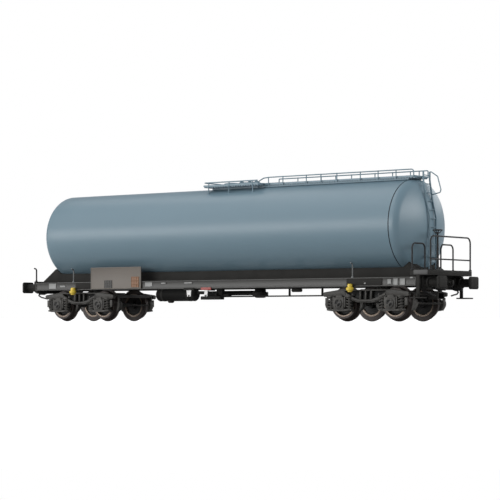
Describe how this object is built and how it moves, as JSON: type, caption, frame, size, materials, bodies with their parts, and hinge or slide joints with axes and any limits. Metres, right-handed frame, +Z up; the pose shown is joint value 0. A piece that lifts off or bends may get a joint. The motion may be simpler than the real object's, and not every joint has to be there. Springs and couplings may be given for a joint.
{
  "type": "model railway tank car",
  "caption": "Scale-model bogie tank wagon: dished-end barrel on a channel frame, swivelling bogies with turning wheelsets, roof walkway and braked end platform.",
  "frame": {"origin": "centre of the footprint, on the surface that the wheel flanges stand on", "axes": "+X along the wagon towards the brakeman's platform, +Y to the side away from the lettering board, +Z up"},
  "size_m": [0.1876, 0.0334, 0.051],
  "materials": {
    "tank_paint": "satin blue-grey paint",
    "sill_grey": "satin dark grey paint",
    "frame_black": "satin near-black moulding",
    "bogie_black": "satin near-black moulding",
    "board_brown": "satin grey-brown paint, blank",
    "lever_plate": "painted white",
    "knob_yellow": "yellow paint",
    "wheel_metal": "blackened turned metal"
  },
  "bodies": {
    "wagon": {"tank": "tank_paint", "side_sill_near": "sill_grey", "side_sill_far": "sill_grey", "centre_sill": "frame_black", "cross_members": "frame_black", "pivot_pins": "frame_black", "buffer_beams": "frame_black", "cradle_webs": "frame_black", "cradle_saddles": "frame_black", "buffers_left": "frame_black", "buffers_right": "frame_black", "draw_hooks": "frame_black", "coupling_pockets": "frame_black", "brake_hoses": "frame_black", "platform_deck": "frame_black", "platform_end_rail": "frame_black", "platform_side_hoops": "frame_black", "handbrake_stand": "frame_black", "platform_steps": "frame_black", "end_ladder": "tank_paint", "roof_walkway": "tank_paint", "walkway_rails": "tank_paint", "valve_platform": "tank_paint", "manhole": "tank_paint", "roof_valves": "tank_paint", "lettering_board": "board_brown", "grab_posts": "frame_black", "air_reservoir": "frame_black", "brake_cylinder": "frame_black", "changeover_levers": "lever_plate", "bottom_outlet": "frame_black", "brake_rodding": "frame_black", "release_knobs": "knob_yellow"},
    "bogie_left": {"bogie_sides_left": "bogie_black", "bogie_bolster_left": "bogie_black", "axleboxes_left": "bogie_black", "brake_gear_left": "bogie_black"},
    "wheels_left_outer": {"wheelset_left_outer": "wheel_metal"},
    "wheels_left_inner": {"wheelset_left_inner": "wheel_metal"},
    "bogie_right": {"bogie_sides_right": "bogie_black", "bogie_bolster_right": "bogie_black", "axleboxes_right": "bogie_black", "brake_gear_right": "bogie_black"},
    "wheels_right_outer": {"wheelset_right_outer": "wheel_metal"},
    "wheels_right_inner": {"wheelset_right_inner": "wheel_metal"}
  },
  "joints": [
    {"name": "bogie_left_swivel", "type": "hinge", "parent": "wagon", "child": "bogie_left", "pos_m": [-0.0648, 0, 0.0117], "axis": [0, 0, 1], "range_deg": [-8, 8]},
    {"name": "wheels_left_outer_turn", "type": "hinge", "parent": "bogie_left", "child": "wheels_left_outer", "pos_m": [-0.07515, 0, 0.0061], "axis": [0, 1, 0], "continuous": true},
    {"name": "wheels_left_inner_turn", "type": "hinge", "parent": "bogie_left", "child": "wheels_left_inner", "pos_m": [-0.05445, 0, 0.0061], "axis": [0, 1, 0], "continuous": true},
    {"name": "bogie_right_swivel", "type": "hinge", "parent": "wagon", "child": "bogie_right", "pos_m": [0.0648, 0, 0.0117], "axis": [0, 0, 1], "range_deg": [-8, 8]},
    {"name": "wheels_right_outer_turn", "type": "hinge", "parent": "bogie_right", "child": "wheels_right_outer", "pos_m": [0.07515, 0, 0.0061], "axis": [0, 1, 0], "continuous": true},
    {"name": "wheels_right_inner_turn", "type": "hinge", "parent": "bogie_right", "child": "wheels_right_inner", "pos_m": [0.05445, 0, 0.0061], "axis": [0, 1, 0], "continuous": true}
  ]
}
